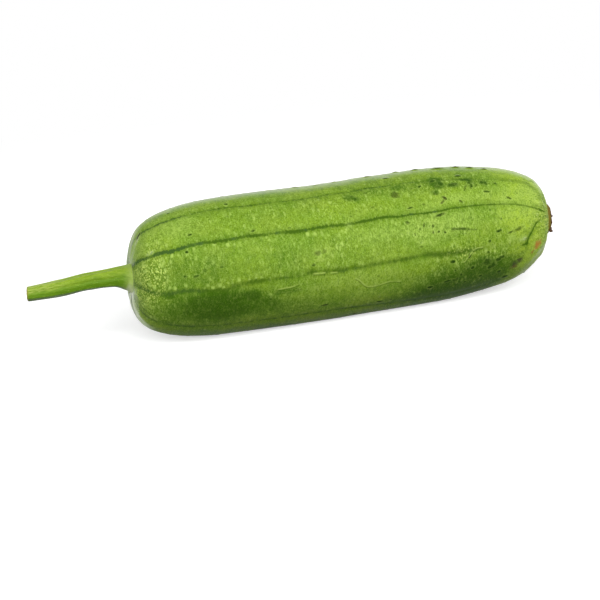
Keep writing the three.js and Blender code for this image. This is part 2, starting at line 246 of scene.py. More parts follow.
# Scratches: points of a thin path, mm from the shoulder and degrees up from the front; half its width
# in mm; paleness, where below zero is dark.
SCRATCHES = [
    ([(125.5, -13), (127.7, -15.4), (129.6, -18.8), (132.4, -22.4), (136.7, -23), (141.4, -22),
      (146.1, -21), (152.2, -22.4)], 0.42, 0.8),
    ([(79.2, -12.6), (83, -12.2), (87.2, -11.9), (91.5, -10.2)], 0.45, 0.8),
    ([(191.8, -14.7), (194.1, -10.8), (196, -8.1), (197.9, -5.4)], 0.42, 1.0),
    ([(197.5, -5.4), (200.3, -4.4), (203.6, -4.7)], 0.4, 0.8),
    ([(0.9, -21), (1.8, -26), (3.4, -30), (6, -33.5), (9, -36)], 0.5, -0.5),
    ([(0.5, -27), (1.4, -32), (3, -36), (5.5, -40)], 0.5, -0.45),
    ([(185.6, 15.8), (189, 15.4), (192.6, 14.6), (195.6, 13.6)], 0.75, -1.0),
    ([(196, 13.2), (199, 12.4), (201.4, 12.0)], 0.4, -0.6),
    ([(100.4, -3.4), (103.5, -3.6), (106.8, -3.9)], 0.5, 0.95),
    ([(110.8, -4.6), (114.4, -5.0)], 0.45, 0.7),
    ([(102, 6.5), (108, 7.0)], 0.35, 0.45),
    ([(101, 8.3), (107, 8.7)], 0.3, 0.4),
    ([(170, 26), (178, 24.5)], 0.3, 0.45),
    ([(60, -110), (71, -114), (84, -113)], 0.4, 0.6),
    ([(150, 148), (158, 152), (171, 150)], 0.4, 0.6),
]
# Bruises: mm from the shoulder, degrees up from the front, length, width, tilt in degrees, redness.
BRUISES = [
    (241.4, -20.6, 7.0, 6.0, 52, 1.0),
    (237.2, -27.0, 3.0, 2.0, 38, 0.55),
    (227.0, -31.0, 9.0, 4.6, 14, 0.0),
    (224.6, -36.5, 5.6, 3.6, 10, 0.15),
]

# The stem's outline: mm from its hidden base inside the shoulder, radius in mm.
STEM_BASE = 3.0
STEM_OUTLINE = [
    (0, 9.7), (1.4, 9.2), (2.3, 8.7), (3.0, 8.1), (4.1, 7.75), (6.0, 7.15), (8.0, 6.55), (10.0, 6.1),
    (15.0, 5.5), (23.0, 5.15), (35.0, 5.02), (45.0, 4.92), (54.0, 4.55), (61.0, 4.25), (61.9, 4.2),
]
# The stem's route: mm out from the shoulder, mm towards the back, rise in mm.
STEM_ROUTE = [
    (-6, 0, 1.2), (0, 0, 2.2), (9, 0.2, 3.4), (24, 1.1, 3.05), (41, 3.1, 1.1), (58.9, 6.4, -0.3),
    (62, 7.1, -0.5),
]
# The stem's cut face: mm past its end, radius in mm.
STEM_CUT = [(-0.15, 4.15), (0, 3.95), (-0.05, 3.6), (-0.2, 3.1), (-0.12, 2.3), (-0.2, 1.2)]

# The blossom scar's outline: mm past the end of the nub, radius in mm.
SCAR_OUTLINE = [
    (-1.8, 5.0), (-1.7, 8.0), (-1.1, 8.9), (-0.5, 9.0), (0.0, 8.6), (0.4, 7.9), (0.5, 7.0), (0.3, 6.1),
    (0.1, 5.2), (0.0, 3.9), (0.2, 2.7), (0.7, 1.9), (0.9, 1.0),
]
# The crumbs of dry flower on it: degrees up from the front, mm from its middle, size in mm.
CRUMBS = [
    (-62, 8.4, 1.25), (-48, 8.9, 1.5), (-36, 8.2, 1.0), (-75, 7.6, 0.9), (20, 8.3, 0.8), (75, 8.2, 1.0),
    (118, 8.5, 1.2), (160, 8.3, 1.0), (-120, 8.6, 1.3), (-160, 8.2, 0.9),
]

# What the columns of a mark hold after its place, angle, length and width.
TILT, HEIGHT, DARKNESS, BROWNNESS = 4, 5, 6, 7
PATCH_DEPTH = 4
BRUISE_RED = 5


# ---------------------------------------------------------------- curves and noise


def smooth_curve(points, places):
    """The values at some places of a smooth curve through (place, value) points, without overshoot."""
    x, y = np.array(points, float).T
    step = np.diff(x)
    slope = np.diff(y) / step
    turning = slope[:-1] * slope[1:] > 0
    total = np.where(turning, slope[:-1] + slope[1:], 1.0)
    inner = np.where(turning, 2 * slope[:-1] * slope[1:] / total, 0.0)
    tangent = np.concatenate([slope[:1], inner, slope[-1:]])
    places = np.clip(places, x[0], x[-1])
    i = np.clip(np.searchsorted(x, places) - 1, 0, len(step) - 1)
    t = (places - x[i]) / step[i]
    return (
        (2 * t**3 - 3 * t**2 + 1) * y[i]
        + (t**3 - 2 * t**2 + t) * step[i] * tangent[i]
        + (3 * t**2 - 2 * t**3) * y[i + 1]
        + (t**3 - t**2) * step[i] * tangent[i + 1]
    )


def ramp(value, start, length):
    """Goes from nought to one as value goes on from start over a length."""
    return np.clip((value - start) / length, 0, 1)


def hump(value, middle, reach):
    """One at the middle, dying away smoothly to both sides."""
    return np.exp(-(((value - middle) / reach) ** 2))


def noise_over(points, size, shift=0.0):
    """Smooth noise from -1 to 1 at points. size is a feature's size in the points' unit, along X, Y and Z."""
    scaled = points / np.array(size, float) + shift
    return np.array([noise.noise(p) for p in scaled])


def wrapped(degrees):
    """An angle brought to between -180 and 180."""
    return (degrees + 180) % 360 - 180


def srgb(red, green, blue):
    """A colour given as it looks, from 0 to 255, as the light values that shaders use."""
    shares = [c / 255 for c in (red, green, blue)]
    return tuple(c / 12.92 if c <= 0.04045 else ((c + 0.055) / 1.055) ** 2.4 for c in shares)


# ---------------------------------------------------------------- modelling


def start_fresh():
    """Leaves edit mode and selects nothing."""
    if bpy.context.object and bpy.context.object.mode != "OBJECT":
        bpy.ops.object.mode_set(mode="OBJECT")
    bpy.ops.object.select_all(action="DESELECT")


def pick(*pieces):
    """Selects only these pieces and makes the first the active one."""
    start_fresh()
    for piece in pieces:
        piece.select_set(True)
    bpy.context.view_layer.objects.active = pieces[0]


def name_piece(piece, name):
    """Names a piece and its mesh."""
    piece.name = name
    piece.data.name = name


def open_mesh():
    """Goes to edit mode with every vertex selected."""
    bpy.ops.object.mode_set(mode="EDIT")
    bpy.ops.mesh.select_all(action="SELECT")


def close_mesh():
    """Turns all faces outward and leaves edit mode."""
    bpy.ops.mesh.select_all(action="SELECT")
    bpy.ops.mesh.normals_make_consistent(inside=False)
    bpy.ops.object.mode_set(mode="OBJECT")


def loft(name, rings, sides, levels):
    """A closed form along +X: a circle extruded and resized from ring to ring of (x, radius) in mm."""
    start_fresh()
    first_x, first_radius = rings[0]
    bpy.ops.mesh.primitive_circle_add(
        vertices=sides,
        radius=first_radius * MM,
        fill_type="NGON",
        location=(first_x * MM, 0, 0),
        rotation=(0, math.pi / 2, 0),
    )
    piece = bpy.context.object
    name_piece(piece, name)
    bpy.ops.object.transform_apply(location=True, rotation=True, scale=True)
    open_mesh()
    for (x0, r0), (x1, r1) in zip(rings, rings[1:]):
        bpy.ops.mesh.extrude_region_move(TRANSFORM_OT_translate={"value": ((x1 - x0) * MM, 0, 0)})
        share = r1 / r0
        bpy.ops.transform.resize(value=(1, share, share), center_override=(x1 * MM, 0, 0))
    close_mesh()
    smooth(piece, levels)
    return piece


def smooth(piece, levels):
    """Subdivides a piece to a smooth surface and shades it smooth."""
    bpy.ops.object.modifier_add(type="SUBSURF")
    subdivision = piece.modifiers[-1]
    subdivision.levels = levels
    subdivision.render_levels = levels
    bpy.ops.object.modifier_apply(modifier=subdivision.name)
    bpy.ops.object.shade_smooth()


def points_of(piece):
    """A piece's vertices in mm."""
    flat = np.empty(len(piece.data.vertices) * 3)
    piece.data.vertices.foreach_get("co", flat)
    return flat.reshape(-1, 3) / MM


def outward_of(piece):
    """The direction that each vertex of a piece faces."""
    flat = np.empty(len(piece.data.vertices) * 3)
    piece.data.vertex_normals.foreach_get("vector", flat)
    return flat.reshape(-1, 3)


def move_points(piece, points):
    """Puts a piece's vertices at points in mm."""
    piece.data.vertices.foreach_set("co", (points * MM).ravel())
    piece.data.update()


def store(piece, name, values):
    """Keeps a number, or a vector, on each vertex for the materials to read."""
    values = np.asarray(values, np.float32)
    kind, field = ("FLOAT", "value") if values.ndim == 1 else ("FLOAT_VECTOR", "vector")
    attribute = piece.data.attributes.new(name, kind, "POINT")
    attribute.data.foreach_set(field, values.ravel())


def bend(points, line, places):
    """Carries points from the X axis to a curved line, given as functions of x. The sections turn with it."""
    here = np.stack([line(x) for x in (places - 0.5, places, places + 0.5)])
    tangent = here[2] - here[0]
    tangent /= np.linalg.norm(tangent, axis=1)[:, None]
    side = np.cross(np.array([0.0, 0.0, 1.0]), tangent)
    side /= np.linalg.norm(side, axis=1)[:, None]
    upward = np.cross(tangent, side)
    return here[1] + side * points[:, 1:2] + upward * points[:, 2:3]


def on_fruit_line(points):
    """Points round the X axis, moved with the fruit's centre line, which runs straight on past its ends."""
    x = points[:, 0]
    inside = np.clip(x, 0, LENGTH)
    rise = smooth_curve(np.array(SWEEP, float) * [LENGTH, 1], inside)
    rise += (x - inside) * np.where(x > 0, -0.11, 0.0)
    return points + np.stack([0 * x, 0 * x, rise], axis=1)


def seated(points):
    """Points from the fruit's own axes to the frame, with both ends' lean and the flat it rests on."""
    moved = points.copy()
    x, z = points[:, 0], points[:, 2]
    lean = SHOULDER_LEAN * np.exp(-np.clip(x, 0, None) / SHOULDER_FADE)
    droop = np.where(z > 0, ramp(x, *LEAN_ABOVE), ramp(x, *LEAN_BELOW))
    lean += BLOSSOM_LEAN * droop * droop * (3 - 2 * droop)
    moved[:, 0] += lean * z
    moved += np.array(SHOULDER) / MM
    low = moved[:, 2] < REST_START
    sunk = np.exp((moved[low, 2] - REST_START) / 0.6)
    moved[low, 2] = REST_LOWEST + (REST_START - REST_LOWEST) * sunk
    return moved


# ---------------------------------------------------------------- marks on the skin


def nearest_line(along, angle, reach):
    """The signed distance to the nearest dark line in mm, and its half width, darkness, beads and spread."""
    best = [np.full(len(along), start) for start in (99.0, 0.5, 0.0, 0.0, 0.5)]
    for number, path in enumerate(LINES):
        known = number < len(LINE_WEIGHTS)
        weights = LINE_WEIGHTS[number] if known else HIDDEN_WEIGHT
        middle = smooth_curve(path, along)
        slope = np.radians(smooth_curve(path, along + 1) - middle) * reach
        if not known:
            wander = np.stack([along / 34, np.full(len(along), 7.3 * number), np.zeros(len(along))], axis=1)
            middle = middle + 1.8 * noise_over(wander, (1, 1, 1))
        distance = np.radians(wrapped(angle - middle)) * reach / np.hypot(1, slope)
        here = [
            distance,
            smooth_curve([(place, half) for place, half, _ in weights], along),
            smooth_curve([(place, dark) for place, _, dark in weights], along),
            LINE_BEADS[number % len(LINE_BEADS)],
            LINE_SPREADS[number % len(LINE_SPREADS)],
        ]
        nearer = np.abs(distance) < np.abs(best[0])
        best = [np.where(nearer, new, old) for new, old in zip(here, best)]
    distance, width, dark, beads, spread = best
    spread = np.where(along > 215, 0.4, spread)
    fade = np.clip(1.6 - np.abs(distance) / 4, 0, 1) * ramp(reach, 7.5, 2.5)
    return distance, width, dark * fade, beads, spread


def all_warts():
    """The warts at known places, and smaller ones strewn all over, thicker towards the blossom."""
    chance = np.random.default_rng(23)
    strewn = []
    for _ in range(420):
        place = 8 + 242 * chance.beta(1.5, 1.0)
        turn = chance.uniform(-180, 180)
        size = 0.8 + 1.2 * chance.random() ** 2.2
        stretch = chance.uniform(0.7, 1.9)
        tilt = chance.normal(0, 14)
        hidden = not -60 < turn < 100
        brown = 0.6 * float(chance.random() > 0.75)
        dark = chance.uniform(0.3, 0.9) if hidden else chance.uniform(0.1, 0.5)
        grown = 1.5 if hidden and chance.random() > 0.6 else 1.0
        length = size * stretch * grown
        width = size / stretch**0.5 * grown
        strewn.append((place, turn, length, width, tilt, 0.14 * size**0.5 * grown, dark, brown))
    return WARTS + strewn


def all_bumps():
    """Small pale bumps all over the skin, longer round the fruit than along it."""
    chance = np.random.default_rng(41)
    bumps = []
    for _ in range(1500):
        size = chance.uniform(1.1, 2.2)
        place = chance.uniform(-2, 254)
        turn = chance.uniform(-180, 180)
        bumps.append((place, turn, size, size * 1.5, 0, chance.uniform(0.06, 0.2)))
    return bumps


def all_patches(patches, seed, count, depths):
    """Patches at known places and softer ones strewn over the side that is turned away."""
    chance = np.random.default_rng(seed)
    strewn = []
    for _ in range(count):
        turn = chance.uniform(105, 300)
        size = chance.uniform(12, 60), chance.uniform(7, 16)
        strewn.append((chance.uniform(5, 250), turn, *size, chance.choice(depths)))
    return patches + strewn


def spots(marks, along, angle, reach):
    """For each mark: its vertices, how far out from its middle they lie, over its size, and the mark."""
    for mark in marks:
        place, turn, length, width = mark[:4]
        tilt = mark[TILT] if len(mark) > TILT + 1 else 0
        near = np.flatnonzero(np.abs(along - place) < 1.3 * max(length, width) + 1)
        u = along[near] - place
        v = np.radians(wrapped(angle[near] - turn)) * reach[near]
        c, s = math.cos(math.radians(tilt)), math.sin(math.radians(tilt))
        out = np.hypot((c * u + s * v) / (length / 2), (c * v - s * u) / (width / 2))
        yield near, out, mark


def mark_height(marks, where, sharpness):
    """How high the marks stand at each vertex, mm."""
    height = np.zeros(len(where[0]))
    for near, out, mark in spots(marks, *where):
        height[near] = np.maximum(height[near], mark[HEIGHT] * np.exp(-sharpness * out**2))
    return height


def nearest_mark(marks, where, *columns):
    """How far out each vertex lies from the nearest mark's middle, squared, and that mark's columns."""
    field = np.full(len(where[0]), 4.0)
    found = [np.zeros(len(field)) for _ in columns]
    for near, out, mark in spots(marks, *where):
        nearer = out**2 < field[near]
        index = near[nearer]
        field[index] = out[nearer] ** 2
        for values, column in zip(found, columns):
            values[index] = mark[column]
    return [field, *found]


def patch_field(patches, where):
    """How much all the patches together mark each vertex: above nought deepened, below it paled."""
    total = np.zeros(len(where[0]))
    for near, out, mark in spots(patches, *where):
        total[near] += mark[PATCH_DEPTH] * np.exp(-((out / 1.15) ** 3))
    return total


def scratch_field(along, angle, reach):
    """The signed distance in mm to the nearest scratch, over its half width, and its paleness."""
    best = np.full(len(along), 9.0)
    pale = np.zeros(len(along))
    for path, width, paleness in SCRATCHES:
        xs = np.array([p[0] for p in path], float)
        middle = smooth_curve(path, along)
        slope = np.radians(smooth_curve(path, along + 0.5) - smooth_curve(path, along - 0.5)) * reach
        distance = np.radians(wrapped(angle - middle)) * reach / np.hypot(1, slope) / width
        past = np.maximum(xs[0] - along, along - xs[-1])
        inside = np.clip(1 - past / 1.2, 0, 1) * (np.abs(distance) * width < 3)
        nearer = (inside > 0) & (np.abs(distance) < np.abs(best))
        best[nearer] = distance[nearer]
        pale[nearer] = (paleness * inside)[nearer]
    return best, pale


# ---------------------------------------------------------------- shader building


class Value:
    """What a node puts out. Arithmetic with it places the nodes that work it out."""

    def __init__(self, socket):
        self.socket = socket
        self.tree = socket.id_data

    def step(self, operation, other=0.0):
        return placed(self.tree, "ShaderNodeMath", {0: self, 1: other}, operation=operation)

    def __add__(self, other):
        return self.step("ADD", other)

    def __sub__(self, other):
        return self.step("SUBTRACT", other)

    def __mul__(self, other):
        return self.step("MULTIPLY", other)

    def __abs__(self):
        return self.step("ABSOLUTE")

    def sign(self):
        return self.step("SIGN")

    def most(self, other):
        return self.step("MAXIMUM", other)


def fill(node, values):
    """Fills a node's inputs: what another node puts out is linked, and anything else is set."""
    for key, value in values.items():
        if isinstance(value, Value):
            value.tree.links.new(value.socket, node.inputs[key])
        else:
            node.inputs[key].default_value = value


def place(tree, kind, values=None, **options):
    """Adds a node, sets its options and fills its inputs."""
    node = tree.nodes.new(kind)
    for name, option in options.items():
        setattr(node, name, option)
    fill(node, values or {})
    return node


def placed(tree, kind, values=None, output=0, **options):
    """Adds a node and gives one of its outputs."""
    return Value(place(tree, kind, values, **options).outputs[output])


def ease(value, start, end, low=0.0, high=1.0):
    """Goes smoothly from low to high as value goes from start to end."""
    values = {"Value": value, "From Min": start, "From Max": end, "To Min": low, "To Max": high}
    return placed(value.tree, "ShaderNodeMapRange", values, interpolation_type="SMOOTHSTEP")


def blend(share, first, second):
    """A share of the second colour over the first."""
    first, second = [c if isinstance(c, Value) else (*c[:3], 1) for c in (first, second)]
    return placed(share.tree, "ShaderNodeMix", {0: share, 6: first, 7: second}, 2, data_type="RGBA")


def layered(colour, layers):
    """Colours laid over one another in order, each with the mask that says how much of it shows."""
    for mask, over in layers:
        colour = blend(mask, colour, over)
    return colour


def stretched(vector, scale):
    """A pattern's coordinates, scaled along X, Y and Z."""
    return placed(vector.tree, "ShaderNodeVectorMath", {0: vector, 1: scale}, operation="MULTIPLY")


def cloud(vector, scale, detail=2.0, roughness=0.5):
    """Plain noise, around a half."""
    values = {"Vector": vector, "Scale": scale, "Detail": detail, "Roughness": roughness}
    return placed(vector.tree, "ShaderNodeTexNoise", values, "Fac")


def kept(tree, name, output="Fac"):
    """What store() kept on the vertices."""
    return placed(tree, "ShaderNodeAttribute", output=output, attribute_name=name)


def bumped(height, strength, distance):
    """The surface's direction where it follows a height, which stands for a distance in metres."""
    values = {"Strength": strength, "Distance": distance, "Height": height}
    return placed(height.tree, "ShaderNodeBump", values)


def make_group(name, numbers, output, work_out):
    """A node group that takes a vector and the named numbers, and puts out what work_out makes of them."""
    tree = bpy.data.node_groups.new(name, "ShaderNodeTree")
    tree.interface.new_socket("Vector", in_out="INPUT", socket_type="NodeSocketVector")
    for label, default in numbers.items():
        socket = tree.interface.new_socket(label, in_out="INPUT", socket_type="NodeSocketFloat")
        socket.default_value = default
    tree.interface.new_socket(output, in_out="OUTPUT", socket_type="NodeSocketFloat")
    taken = tree.nodes.new("NodeGroupInput").outputs
    result = work_out(*[Value(taken[label]) for label in ("Vector", *numbers)])
    place(tree, "NodeGroupOutput", {output: result})


def use(effect, vector, *numbers):
    """Places an effect's group in a material, with its inputs in their order, and gives its output."""
    inputs = dict(enumerate((vector, *numbers)))
    return placed(vector.tree, "ShaderNodeGroup", inputs, node_tree=bpy.data.node_groups[effect])


def edge(vector, distance, softness, raggedness, scale):
    """A mask with a ragged edge, one where distance is below nought."""
    return use("ragged edge", vector, distance, softness, raggedness, scale)


def flecks(vector, scale, size, coverage):
    """A mask of small separate flecks."""
    return use("flecks", vector, scale, size, coverage)


def grain(vector, scale, fineness):
    """The height of fine plant skin."""
    return use("plant grain", vector, scale, fineness)


def ragged_edge(vector, distance, softness, raggedness, scale):
    """A mask that is one inside an edge and nought outside, with the edge worn ragged by noise."""
    wear = cloud(vector, scale, 3.0, 0.6) - 0.5
    return ease(wear * raggedness + distance, softness, softness * -1.0)


def separate_flecks(vector, scale, size, coverage):
    """Small separate flecks of uneven shape."""
    tree = vector.tree
    warp = placed(tree, "ShaderNodeTexNoise", {"Vector": vector, "Scale": 420.0, "Detail": 1.0}, "Color")
    offset = placed(tree, "ShaderNodeVectorMath", {0: warp, 1: (0.5, 0.5, 0.5)}, operation="SUBTRACT")
    shift = {0: offset, 1: (0.0012, 0.0012, 0.0012), 2: vector}
    shifted = placed(tree, "ShaderNodeVectorMath", shift, operation="MULTIPLY_ADD")
    cells = place(tree, "ShaderNodeTexVoronoi", {"Vector": shifted, "Scale": scale, "Randomness": 1.0})
    dot = ease(Value(cells.outputs["Distance"]), size, size * 0.35)
    chosen = placed(tree, "ShaderNodeSeparateColor", {0: Value(cells.outputs["Color"])})
    return dot * ease(coverage - chosen, 0.0, 0.2)


def plant_grain(vector, scale, fineness):
    """The fine relief of plant skin: a height around a half, from coarse and fine noise together."""
    coarse = cloud(vector, scale, 3.0, 0.55)
    fine = cloud(vector, scale * 2.7, 2.0, 0.6)
    return placed(vector.tree, "ShaderNodeMix", {0: fineness, 2: coarse, 3: fine}, data_type="FLOAT")


def make_effects():
    """The node groups that the materials share."""
    worn = {"Distance": 0.0, "Softness": 0.2, "Raggedness": 0.5, "Scale": 900.0}
    make_group("ragged edge", worn, "Mask", ragged_edge)
    make_group("flecks", {"Scale": 500.0, "Size": 0.4, "Coverage": 0.5}, "Mask", separate_flecks)
    make_group("plant grain", {"Scale": 700.0, "Fineness": 0.5}, "Height", plant_grain)


def new_material(name):
    """A material with only its shader and its output, and the coordinates that its patterns use."""
    material = bpy.data.materials.new(name)
    material.use_nodes = True
    tree = material.node_tree
    position = placed(tree, "ShaderNodeTexCoord", output="Object")
    return material, tree, tree.nodes["Principled BSDF"], position


def mottle_skin(tree, colours, skin_map):
    """The green itself: clouds, patches, mottling drawn out round the fruit, streaks and pale flecks; through
    the patches also painted shadow low on the side and painted reflection along the edges.
    """

    def across(share):
        """Coordinates that draw a pattern out round the fruit."""
        return stretched(skin_map, (1.0, share, share))

    def lengthways(share):
        """Coordinates that draw a pattern out along the fruit."""
        return stretched(skin_map, (share, 1.0, 1.0))

    along = kept(tree, "along")
    busy = kept(tree, "busy")
    clouds = ease(cloud(lengthways(0.6), 40.0, 3.0, 0.55), 0.34, 0.66)
    tint = ease(cloud(lengthways(0.7), 75.0, 2.0, 0.5), 0.45, 0.68)
    wisps = cloud(across(0.7), 210.0, 3.0, 0.6)
    uneven = (wisps - 0.5) * 1.5 + kept(tree, "patches")
    lit = ease(uneven, 0.5, 1.5, 1.0, 0.35)
    contrast = ease(busy + cloud(skin_map, 60.0, 2.0, 0.5), 0.1, 1.7, 0.4, 1.5)
    blobs = cloud(across(0.48), 480.0, 3.0, 0.64)
    grit = cloud(across(0.55), 1150.0, 2.0, 0.6)
    flecked = flecks(across(0.55), 320.0, 0.38, ease(busy * 0.4 + wisps, 0.35, 0.85, 0.14, 0.65))
    stroked = ease(cloud(skin_map, 60.0, 2.0, 0.5), 0.42, 0.62, 0.0, 0.7)
    strokes = flecks(across(0.3), 650.0, 0.42, stroked)
    dense = ease(busy, 0.55, 1.2)
    salt = flecks(across(0.5), 1150.0, 0.56, 0.7) * dense
    bumps = ease(kept(tree, "bump_field"), 1.0, 0.1)
    dust = ease(cloud(skin_map, 1900.0, 2.0, 0.6), 0.42, 0.62)
    dimples = ease(cloud(across(0.6), 1500.0, 2.0, 0.65), 0.5, 0.34, 0.0, 0.5)
    rays = cloud(lengthways(0.2), 330.0, 3.0, 0.65)
    rayed = ease(along, 0.9, 0.98)
    layers = [
        (tint * 0.35, colours.olive_green),
        (ease(along + clouds * 0.04, 0.82, 0.99) * 0.85, colours.blossom_green),
        (ease(along, 0.035, 0.0) * 0.45, colours.shoulder_green),
        # The patches below paint the skin's own deeper and paler patches, and also painted shadow low on the
        # side and painted reflection along the edges.
        (ease(uneven, 0.0, 1.1, 0.0, 0.9), colours.shade_green),
        (ease(uneven, 0.8, 1.8, 0.0, 0.9), colours.dark_green),
        (ease(uneven, 0.0, -1.0, 0.0, 0.8), colours.pale_green),
        (ease(uneven, -1.0, -2.2, 0.0, 0.9), colours.palest_and_rim_light),
        (ease(blobs, 0.5, 0.7, 0.0, 0.42) * lit, colours.pale_green),
        (ease(blobs, 0.5, 0.3, 0.0, 0.48), colours.shade_green),
        (ease(grit, 0.5, 0.32) * contrast * 0.62, colours.shade_green),
        (ease(grit, 0.52, 0.7) * contrast * lit * 0.6, colours.fleck_green),
        (flecked * contrast * lit * 0.75, colours.fleck_green),
        (strokes * contrast * lit * 0.5, colours.fleck_green),
        (dense * 0.16, colours.shade_green),
        (flecks(skin_map, 900.0, 0.5, 0.6) * dense * 0.8, colours.shade_green),
        (salt * 0.95, colours.speck_green),
        (bumps * contrast * 0.22, colours.fleck_green),
        (flecks(skin_map, 430.0, 0.26, 0.3) * contrast * 0.6, colours.shade_green),
        (dust * lit * 0.3, colours.fleck_green),
        (dimples, colours.shade_green),
        (ease(rays, 0.52, 0.36) * rayed * 0.45, colours.shade_green),
        (ease(rays, 0.52, 0.66) * rayed * 0.5, colours.speck_green),
        (ease(along, 0.968, 0.988) * 0.6, colours.nub_green),
        (flecks(skin_map, 950.0, 0.42, 0.5) * ease(along, 0.955, 0.99) * 0.75, colours.scar_brown),
    ]
    colour = layered(blend(clouds, colours.deep_green, colours.skin_green), layers)
    return colour, blobs, flecked, salt


def make_skin(colours):
    """The fruit's skin: mottled green with pale flecks, dark lines, warts, scratches and bruises, with painted
    highlights beside the lines and round the warts.
    """
    material, tree, shader, _ = new_material("gourd_skin")
    skin_map = kept(tree, "skin_map", "Vector")
    along = kept(tree, "along")
    upward = kept(tree, "upward")
    mottled, blobs, flecked, salt = mottle_skin(tree, colours, skin_map)
    ticked = stretched(skin_map, (1.0, 0.45, 0.45))

    distance = kept(tree, "line_distance")
    width = kept(tree, "line_width")
    dark = kept(tree, "line_dark")
    beads = kept(tree, "line_beads")
    spread = kept(tree, "line_spread")
    off = abs(distance)
    beside = distance * beads.sign() - width
    band = ease(beside, -0.2, 0.8) * ease(beside, 5.5, 1.8)
    # Pale beads on one side of each line: partly pale bumps of the skin, partly a painted highlight on the lit
    # lip of the groove.
    lip_beads_and_light = band * flecks(stretched(skin_map, (1.0, 0.6, 0.6)), 330.0, 0.5, 0.8)
    lip_beads_and_light = lip_beads_and_light * ease(abs(beads), 0.0, 1.0) * ease(dark, 0.1, 0.6)
    lip_beads_and_light = lip_beads_and_light * ease(along, 0.68, 0.5, 0.15, 1.0)
    raggedness = (spread * 1.6 + 2.8) * ease(along, 0.58, 0.72, 1.0, 0.4)
    worn = cloud(ticked, 300.0, 3.0, 0.6) * 1.6 + ease(along, 0.6, 0.75, -0.3, 0.1)
    line = edge(ticked, off - width, spread, raggedness, 750.0) * ease(worn + dark, 0.8, 1.3)
    line = line * ease(dark, 0.0, 0.9) * ease(spread, 0.4, 1.4, 1.0, 0.75)
    line = line * ease(salt, 0.0, 1.0, 1.0, 0.55)
    bluer = ease(cloud(skin_map, 150.0, 2.0, 0.5), 0.56, 0.72) * ease(along, 0.84, 0.74)
    bluer = bluer.most(ease(along, 0.16, 0.1, 0.0, 0.8))
    line_colour = blend(bluer, colours.line_green, colours.line_blue)
    line_colour = blend(ease(along, 0.78, 0.9, 0.0, 0.6), line_colour, colours.shade_green)

    field = kept(tree, "wart_field")
    wart_dark = kept(tree, "wart_dark")
    # A pale ring round each wart: partly paler skin round it, partly a painted highlight on its raised edge.
    rim = ease(field, 3.4, 1.7) * ease(field, 0.8, 1.5) * wart_dark
    wart = edge(skin_map, field - 0.95, 0.8, 2.8, 620.0)
    wart = wart * ease(wart_dark, 0.0, 0.85) * ease(cloud(skin_map, 900.0, 2.0, 0.6), 0.25, 0.5, 0.7, 1.0)
    wart_colour = blend(kept(tree, "wart_brown"), colours.wart_green, colours.wart_brown)

    bruise = edge(skin_map, kept(tree, "bruise_field") - 0.75, 0.6, 2.6, 420.0)
    bruise = bruise * ease(cloud(skin_map, 700.0, 2.0, 0.6), 0.35, 0.6, 0.45, 0.85)
    bruise_colour = blend(kept(tree, "bruise_red"), colours.bruise_purple, colours.bruise_orange)

    scratched = kept(tree, "scratch_field")
    pale = kept(tree, "scratch_pale")
    scratch = edge(skin_map, abs(scratched) - 0.9, 0.9, 1.5, 500.0)
    scratch = scratch * ease(cloud(skin_map, 330.0, 2.0, 0.6), 0.3, 0.55, 0.35, 0.85)
    under = ease(scratched, -3.6, -1.6) * ease(scratched, -0.6, -1.4)
    dried = along + ((blobs - 0.5) * 0.011 + ease(upward, -0.55, 0.35, 0.0, 0.013))

    layers = [
        (ease(off, 4.2, 0.6) * dark * 0.34, colours.shade_green),
        (lip_beads_and_light * 0.7, colours.fleck_green),
        (line * 0.92, line_colour),
        (rim * 0.22, colours.fleck_green),
        (wart, wart_colour),
        (bruise, bruise_colour),
        (scratch * ease(pale, 0.0, 1.0), colours.scratch_tan),
        (scratch * ease(pale, 0.0, -1.0), colours.wart_green),
        (under * ease(pale, 0.1, 0.9) * 0.4, colours.wart_green),
        (ease(dried, 0.9905, 0.9975) * 0.8, colours.scar_brown),
    ]
    height = flecked * 0.5 + grain(ticked, 900.0, 0.4) + blobs * 0.6 - line * 0.3
    surface = {
        "Base Color": layered(mottled, layers),
        "Roughness": ease(blobs, 0.3, 0.7, 0.44, 0.56) + wart * 0.18,
        "Specular IOR Level": 0.04,
        "Normal": bumped(height, 0.7, 0.0005),
        "Coat Weight": rim_gloss(tree, along, upward) * ease(blobs, 0.3, 0.7, 0.88, 1.0),
        "Coat Roughness": 0.3,
        "Coat IOR": 1.6,
    }
    fill(shader, surface)
    return material


def rim_gloss(tree, along, upward):
    """Where the waxy skin turns away from a viewer at its side and catches the light."""
    facing = placed(tree, "ShaderNodeLayerWeight", {"Blend": 0.5}, "Facing")
    blossom_end = ease(along, 0.88, 0.94) * ease(upward, -0.75, -0.1, 0.08, 1.0)
    upper_side = ease(along, 0.02, 0.12, 0.45, 1.0) * ease(upward, -0.85, -0.4, 0.04, 1.0)
    open_side = blossom_end.most(upper_side)
    turned_away = ease(facing, 0.56, 0.82) * ease(facing, 0.86, 0.97, 1.0, 0.5)
    front = ease(upward, 0.5, 0.15) * ease(upward, -0.5, -0.25) * 0.012
    bare = along + front
    gloss = turned_away * open_side * ease(bare, 0.969, 0.959, 0.0, 1.0)
    under_stem = ease(facing, 0.6, 0.82) * ease(along, 0.05, 0.02) * ease(upward, -0.3, -0.6)
    gloss = gloss.most(under_stem)
    lengthwise = placed(tree, "ShaderNodeCombineXYZ", {"X": 1.0})
    from_side = placed(tree, "ShaderNodeLayerWeight", {"Blend": 0.5, "Normal": lengthwise}, "Facing")
    return gloss * ease(from_side, 0.3, 0.6)


